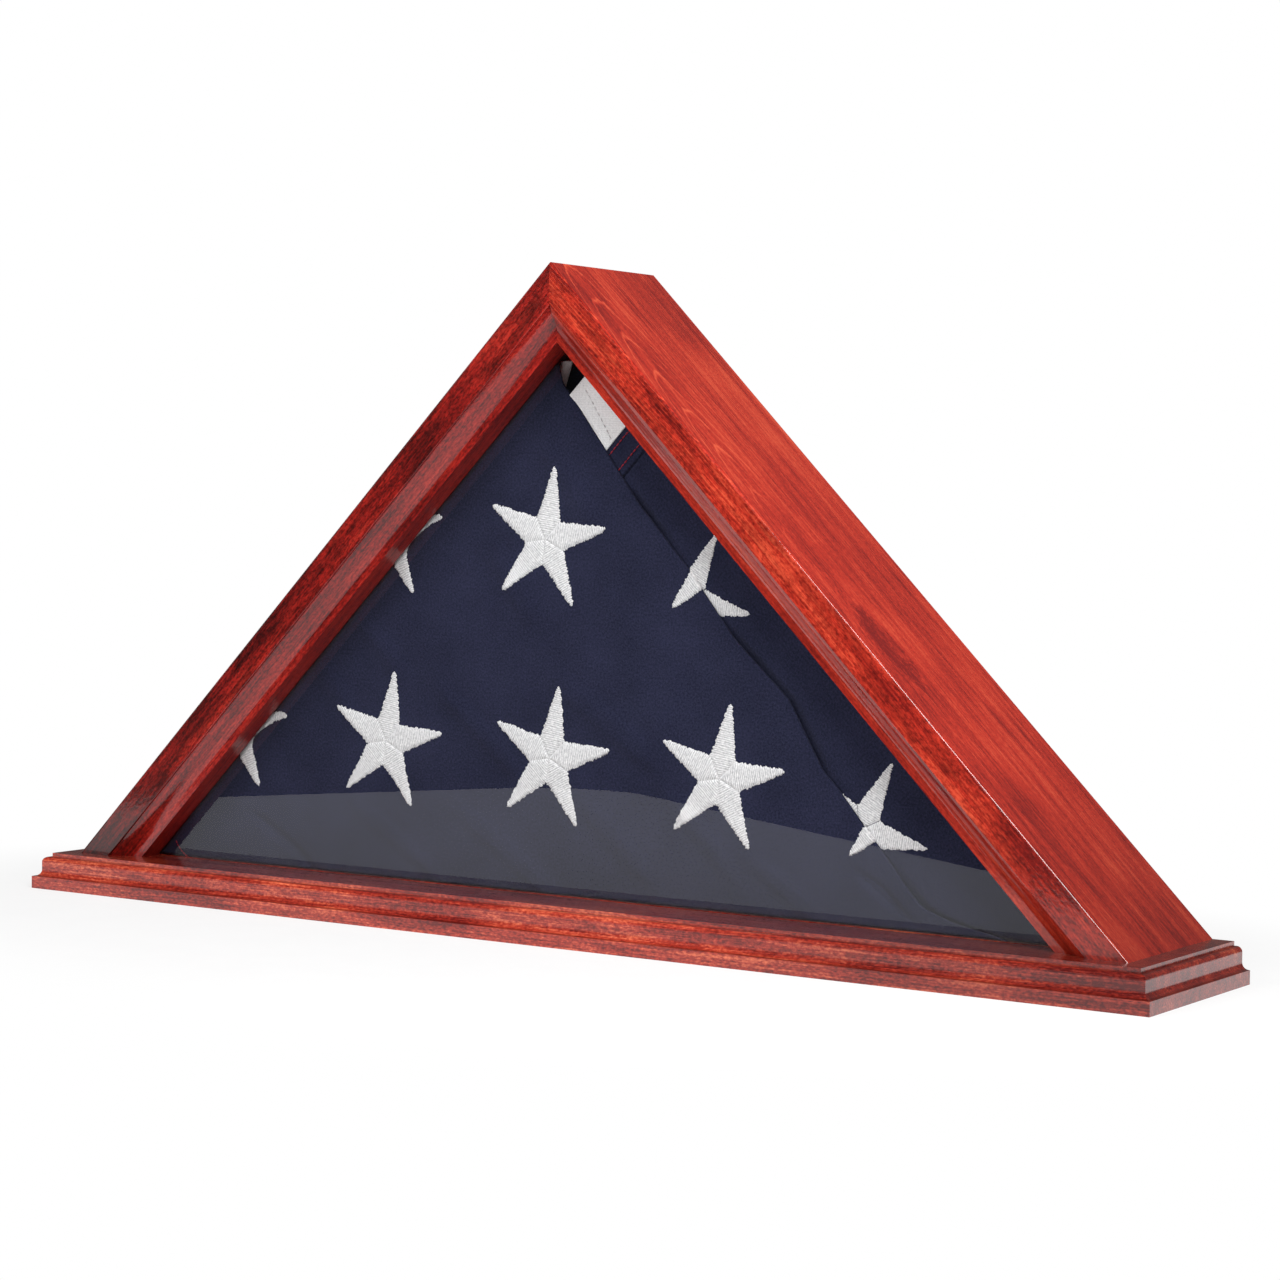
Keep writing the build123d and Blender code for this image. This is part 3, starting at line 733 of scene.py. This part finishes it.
def stitch_row(name, place, count, length, material, slot_name, width):
    """A row of lockstitches. place(t) gives a point on the cloth, for t from 0 to 1."""
    sides, rings = 6, 5
    height, first = 0.22 * MM, 0.08
    out = np.array([0.0, -1.0, 0.0])
    points, faces = [], []
    for stitch in range(count):
        start, end = (stitch + first) / count, (stitch + first + length) / count
        a, b = np.array(place(start)), np.array(place(end))
        run = (b - a) / np.linalg.norm(b - a)
        sideways = np.cross(run, out)
        base = len(points)
        for ring in range(rings):
            share = ring / (rings - 1)
            bulge = math.sin(math.pi * (0.12 + 0.76 * share))
            middle = a + (b - a) * share + out * height * bulge
            for side in range(sides):
                angle = 2 * math.pi * side / sides
                round_thread = math.cos(angle) * sideways + 0.6 * math.sin(angle) * out
                points.append(middle + bulge * width * round_thread)
        faces += moved(grid_faces(rings, sides, closed=True), base)
        faces.append(tuple(base + i for i in reversed(range(sides))))
        faces.append(tuple(base + (rings - 1) * sides + i for i in range(sides)))
    return dress(mesh_object(name, points, faces), material, slot_name)


def arm_half_width(t):
    """Half an arm's width at t from the star's centre, with a blunt tip."""
    notch_along = STAR_NOTCH * math.cos(math.radians(36))
    notch_across = STAR_NOTCH * math.sin(math.radians(36))
    if t < notch_along:
        return notch_across * t / notch_along
    share = t / STAR_TIP
    narrowing = notch_across * (STAR_TIP - t) / (STAR_TIP - notch_along)
    blunt = float(smoothstep(notch_along, STAR_TIP, t)) * math.sqrt(max(0.0, 1 - share**40))
    return max(narrowing, 0.0) + 0.75 * MM * blunt


def star_arm(centre, angle, draw, along, across):
    """Flat points of one arm with their heights off the cloth, and each point's place in the stitches."""
    notch_along = STAR_NOTCH * math.cos(math.radians(36))
    axis = np.array([math.sin(angle), math.cos(angle)])
    side = np.array([axis[1], -axis[0]])
    loft = ARM_LOFT * (0.9 + 0.2 * draw.random())
    points, stitches = [], []
    for step in range(along):
        share = step / (along - 1)
        t = STAR_TIP * share
        half = arm_half_width(t)
        ragged = RAGGED_EDGE * float(smoothstep(0.8 * notch_along, notch_along, t)) if share < 1 else 0
        reach = (half + ragged * (draw.random() - 0.4), half + ragged * (draw.random() - 0.4))
        seam_width = 1.6 * MM if t < notch_along else 0.8 * MM
        for column in range(across):
            w = 2 * column / (across - 1) - 1
            sideways = w * (reach[0] if w < 0 else reach[1])
            seam = float(smoothstep(0, seam_width, half * (1 - abs(w))))
            rise = loft * (0.25 + 0.75 * seam) * (1 - 0.5 * share) if 0 < share < 1 else 0.15 * MM
            if abs(w) == 1 and t >= notch_along:
                rise = -0.1 * MM
            points.append((np.array(centre) * MM + axis * t + side * sideways, rise))
            stitches.append((t, sideways))
    return points, stitches


def star(name, centre, place, turn, keep):
    """Five satin-stitched arms that meet in seams at the centre.

    place(x, h, lift) puts a flat point on its layer, and keep says which flat points show.
    """
    draw = random.Random(name)
    along, across = 64, 9
    points, faces, stitches = [], [], []
    for arm in range(5):
        faces += moved(grid_faces(along, across), len(points))
        arm_points, arm_stitches = star_arm(centre, turn + math.radians(72 * arm), draw, along, across)
        points += arm_points
        stitches += [(t + 0.05 * arm, sideways + 0.1 * arm) for t, sideways in arm_stitches]
    faces = [f for f in faces if all(keep(*points[i][0]) for i in f)]
    used = sorted({i for f in faces for i in f})
    fresh = {old: new for new, old in enumerate(used)}
    faces = [tuple(fresh[i] for i in f) for f in faces]
    placed = [place(flat[0], flat[1], 0.2 * MM + rise) for flat, rise in (points[i] for i in used)]
    made = mesh_object(name, placed, faces)
    set_flat(made, [stitches[i] for i in used])
    return dress(made, WHITE_STITCH, "white_cloth")


# Insets from the left slope, and how far a star slips inwards there, in millimetres
STAR_SLIP = ((24, 32, 44), (1.2, -1.6, 0))
UPPER_STARS = [  # centres on the flat upper layer, x and height in millimetres
    (-18.6, 190.9), (-126.6, 195), (91.2, 184.6), (-237.6, 80.4), (-126.5, 76.5), (-14.3, 73.3),
    (94, 69), (199.8, 63.2),
]


def upper_stars():
    def place(x, h, lift):
        pucker = HALF * MM * float(np.interp(inset(x, h, -1) / MM, *STAR_SLIP))
        return on_upper(x + pucker, h - pucker, lift)

    def shows(x, h):
        past = LEFT_ROLL_STARTS - inset(x, h, -1)
        return x < fold_x(h) + 2.6 * FOLD_RADIUS and past < ROLL_SHOWS * LEFT_ROLL

    return [
        star(f"upper_star_{number}", centre, place, STAR_TURN, shows)
        for number, centre in enumerate(UPPER_STARS, 1)
    ]


def lower_stars():
    def place(x, h, lift):
        station = (x - h + CASE_HEIGHT) * HALF
        return on_lower(station, inset(x, h, 1), lift)

    def shows(x, h):
        past = RIGHT_ROLL_STARTS - inset(x, h, 1)
        return x > fold_x(h) - 12 * MM and past < ROLL_SHOWS * RIGHT_ROLL

    return [
        star(f"lower_star_{number}", centre, place, LOWER_STAR_TURN, shows)
        for number, centre in enumerate(LOWER_STARS, 1)
    ]


# ---------------------------------------------------------------- the pack behind the front layers
def pillow_loop(edge_in, corner):
    """Points round a triangle with round corners that stands on the sill, edge_in inside the slopes."""
    straight, arc = 44, 14
    inner = edge_in + corner
    foot = 0.6 * MM + corner
    reach = CASE_HEIGHT - foot - inner / HALF
    top = CASE_HEIGHT - inner / HALF
    turning = []
    for (x, h), start, end in [((reach, foot), -90, 45), ((0.0, top), 45, 135), ((-reach, foot), 135, 270)]:
        for step in range(arc):
            angle = math.radians(start + (end - start) * step / (arc - 1))
            turning.append((x + corner * math.cos(angle), h + corner * math.sin(angle)))
    loop = []
    for index, point in enumerate(turning):
        loop.append(point)
        if (index + 1) % arc == 0:
            run = np.array(turning[(index + 1) % len(turning)]) - np.array(point)
            loop += [tuple(np.array(point) + run * step / straight) for step in range(1, straight)]
    return loop


def pillow(edge_in, front, back, seed):
    """One folded packet of cloth: a soft triangle with rolled edges and a lightly rumpled face."""
    radius = (back - front) / 2
    middle = (front + back) / 2
    corner = 6 * MM
    shares = [0.0, 0.12, 0.25, 0.4, 0.55, 0.7, 0.82, 0.91, 0.97]
    centre = np.array([0.0, 0.336 * CASE_HEIGHT])
    inner = np.array(pillow_loop(edge_in + radius * 0.9, corner))
    rings = [(centre + (inner - centre) * share, front, share) for share in shares]
    for angle in np.radians(range(0, 181, 15)):
        edge = pillow_loop(edge_in + radius * 0.9 * (1 - math.sin(angle)), corner)
        rings.append((np.array(edge), middle - radius * math.cos(angle), 1.0))
    rings += [(centre + (inner - centre) * share, back, share) for share in reversed(shares)]

    points, flat = [], []
    for loop, y, share in rings:
        side = -1 if y < middle else 1
        damping = 0.3 if abs(y - middle) < 0.9 * radius else 1.0
        tucked = 1.3 * MM * float(smoothstep(0.75, 1.0, share))
        for x, h in loop:
            rumple = 0.9 * MM * wavy(x + 1, h, 28.0, seed) + 0.35 * MM * wavy(x, h + 1, 75.0, seed + 1)
            points.append((x, y - side * (tucked + abs(rumple)) * damping, SILL + max(h, SILL_GAP)))
            flat.append((x, h))
    columns = len(inner)
    faces = [tuple(reversed(f)) for f in grid_faces(len(rings), columns, closed=True)[columns:-columns]]
    first_ring, last_ring = columns, (len(rings) - 2) * columns
    tail = last_ring + columns
    for column in range(columns):
        after = (column + 1) % columns
        faces.append((0, first_ring + after, first_ring + column))
        faces.append((tail, last_ring + column, last_ring + after))
    return points, flat, faces


def drop_loose_points(mesh):
    """Deletes the points that no face uses."""
    work = bmesh.new()
    work.from_mesh(mesh)
    loose = [point for point in work.verts if not point.link_faces]
    bmesh.ops.delete(work, geom=loose, context="VERTS")
    work.to_mesh(mesh)
    work.free()


def flag_pack():
    """The packets of cloth inside the wrap, one behind the other."""
    start = LOWER_PLANE + 3.0 * MM
    behind_wrap = UPPER_PLANE + 2 * LEFT_ROLL + 0.8 * MM
    gap = 0.3 * MM
    half_way = behind_wrap + (FLAG_BACK - behind_wrap - gap) / 2
    packets = [  # inset of the edge, front, back and seed
        (54 * MM, start, behind_wrap - 2.0 * MM, 21.0),
        (26 * MM, behind_wrap, half_way - gap, 33.0),
        (25.4 * MM, half_way, FLAG_BACK - gap, 45.0),
    ]
    points, flat, faces = [], [], []
    for packet in packets:
        packet_points, packet_flat, packet_faces = pillow(*packet)
        faces += moved(packet_faces, len(points))
        points += packet_points
        flat += packet_flat
    made = mesh_object("flag_pack", points, faces)
    set_flat(made, flat)
    drop_loose_points(made.data)
    return dress(made, NAVY, "navy_cloth")


def extent(flat):
    """Width and length of the flat cloth."""
    spread = np.ptp(np.array(flat), axis=0)
    return float(spread[0]), float(spread[1])


def red_stitches():
    """Two rows across the hem, and the short arc in the left corner."""

    def across_slope(station):
        return lambda t: on_lower(station, (30 + 42 * t) * MM, STITCH_LIFT)

    def corner_arc(t):
        angle = math.radians(205 + 50 * t)
        return on_upper((-262 + 24 * math.cos(angle)) * MM, (18 + 21 * math.sin(angle)) * MM, 0.3 * MM)

    looks = (RED_THREAD, "red_thread", 0.4 * MM)
    rows = [
        stitch_row(f"hem_stitches_{number}", across_slope(station), 15, 0.84, *looks)
        for number, station in enumerate(HEM_SEAMS, 1)
    ]
    return rows, stitch_row("corner_stitches", corner_arc, 9, 0.86, *looks)


def heading_stitches():
    """The white seam that runs down the heading."""

    def seam(t):
        return on_lower((47 + 35.2 * t) * MM, (41.4 + 7.8 * t) * MM, 1.7 * MM)

    return stitch_row("heading_stitches", seam, 10, 0.62, WHITE_THREAD, "white_cloth", 0.36 * MM)


def build_flag():
    """Makes the flag's pieces, each with its material."""
    upper, upper_flat, upper_faces = upper_layer()
    lower, lower_flat, lower_faces = lower_layer()
    facing, facing_flat, _ = hem()
    canvas, canvas_flat, _ = heading()
    curl = heading_curl()
    pack = flag_pack()
    over, under = upper_stars(), lower_stars()
    red, corner = red_stitches()
    seam = heading_stitches()
    extent(upper_flat)
    flat_area(upper_flat, upper_faces)
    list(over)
    extent(lower_flat)
    flat_area(lower_flat, lower_faces)
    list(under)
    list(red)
    extent(facing_flat)
    extent(canvas_flat)
    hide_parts("folded_flag")
    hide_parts("flag_heading")


# ---------------------------------------------------------------- floor, lights and camera
# A long low light before the case that only mirror images show. Each edge is an axis of the direction,
# where the light is out, where it is full, and its strength.
STRIP_EDGES = [(2, 0.105, 0.125, 2.0), (2, 0.20, 0.18, 1.0), (1, -0.2, -0.4, 1.0)]
ROOM_LIGHT = 0.30
FLOOR_CORNERS = [(2.2, 3.2), (-0.775, 3.2), (-0.775, -0.382), (2.2, -0.382)]  # before the floor's turn
FLOOR_ROUND = 0.09
FLOOR_TURN = math.radians(31)


def softbox(name, place, target, size, power):
    """A round soft light that looks at the target."""
    data = bpy.data.lights.new(name, "AREA")
    data.shape = "DISK"
    data.size = size
    data.energy = power
    made = bpy.data.objects.new(name, data)
    bpy.context.scene.collection.objects.link(made)
    made.location = place
    made.rotation_euler = (Vector(target) - Vector(place)).to_track_quat("-Z", "Y").to_euler()
    return made


def room():
    """A dim room, which is white where the camera looks straight at it and nearly dark in mirror images."""
    world = bpy.data.worlds.new("studio")
    bpy.context.scene.world = world
    world.use_nodes = True
    n = Tree(world.node_tree)
    toward = n.axes(n.add("TexCoord"))
    mirrored = n.span(toward[1], 0.0, 0.8, 0.03, 0.10)
    outer, inner, before = (
        n.span(toward[axis], out, full, 0.0, strength) for axis, out, full, strength in STRIP_EDGES
    )
    strip = n.math("MULTIPLY", n.math("MULTIPLY", outer, inner), before)
    mirrored = n.math("ADD", mirrored, strip)
    dim = n.add("Background", Color=(1, 1, 1, 1), Strength=ROOM_LIGHT)
    dark = n.add("Background", Color=(0.8, 0.8, 0.8, 1), Strength=mirrored)
    white = n.add("Background", Color=(1, 1, 1, 1), Strength=1.0)
    seen = n.blend(n.add("LightPath", GLOSSY_RAY), dim, dark)
    seen = n.blend(n.add("LightPath", CAMERA_RAY), seen, white)
    n.tree.links.new(seen, n.tree.nodes["World Output"].inputs[0])


def floor_paper():
    """Pale paper whose edge fades into the white of the room."""
    n = Nodes("floor_paper")
    where = n.add("TexCoord", OBJECT)
    fade = n.span(n.length(n.stretch(where, (1.0, 1.6, 1.0))), 0.34, 0.56, 0.7, 1.0, SMOOTH)
    grain = n.noise(where, 40.0, 3.0)
    n.finish(Base_Color=n.ramp(grain, (0.3, 0.86), (0.7, 0.89)), Roughness=0.6, Specular_IOR_Level=0.2)
    glow = n.add("Emission", Color=(1, 1, 1, 1), Strength=1.0)
    shown = n.math("MAXIMUM", fade, n.add("LightPath", GLOSSY_RAY))
    return n.cover(n.blend(shown, n.shader.outputs[0], glow))


def floor():
    """A sheet of paper with round corners. The glass mirrors its front edge."""
    square = Matrix.Rotation(FLOOR_TURN, 4, "Z")
    points = []
    for quarter, (x, y) in enumerate(FLOOR_CORNERS):
        middle_x = x - math.copysign(FLOOR_ROUND, x)
        middle_y = y - math.copysign(FLOOR_ROUND, y)
        for step in range(13):
            angle = math.radians(90 * quarter + 7.5 * step)
            reach = (FLOOR_ROUND * math.cos(angle), FLOOR_ROUND * math.sin(angle))
            points.append(square @ Vector((middle_x + reach[0], middle_y + reach[1], 0.0)))
    made = mesh_object("floor", points, [tuple(range(len(points)))], smooth=False)
    made.data.materials.append(floor_paper())


def studio():
    room()
    floor()
    key = softbox("key", (-0.50, -0.95, 0.95), (0.0, 0.0, 0.22), 0.8, 8.5)
    key.visible_glossy = False  # its mirror image would veil the left board when seen from behind
    softbox("upper", (0.60, -0.42, 0.74), (0.12, 0.0, 0.22), 0.5, 9)
    bpy.context.scene.view_settings.view_transform = "Standard"


def camera():
    """A long lens, in front of the case and to its right."""
    data = bpy.data.cameras.new("camera")
    data.lens = 83.25
    data.sensor_width = 36
    made = bpy.data.objects.new("camera", data)
    bpy.context.scene.collection.objects.link(made)
    yaw, pitch, roll = math.radians(33.86), math.radians(90 - 2.62), math.radians(0.76)
    made.matrix_world = (
        Matrix.Translation((0.9092, -1.3044, 0.2308))
        @ Matrix.Rotation(yaw, 4, "Z")
        @ Matrix.Rotation(pitch, 4, "X")
        @ Matrix.Rotation(roll, 4, "Z")
    )
    bpy.context.scene.camera = made


camera()
studio()
dress_case()
build_flag()
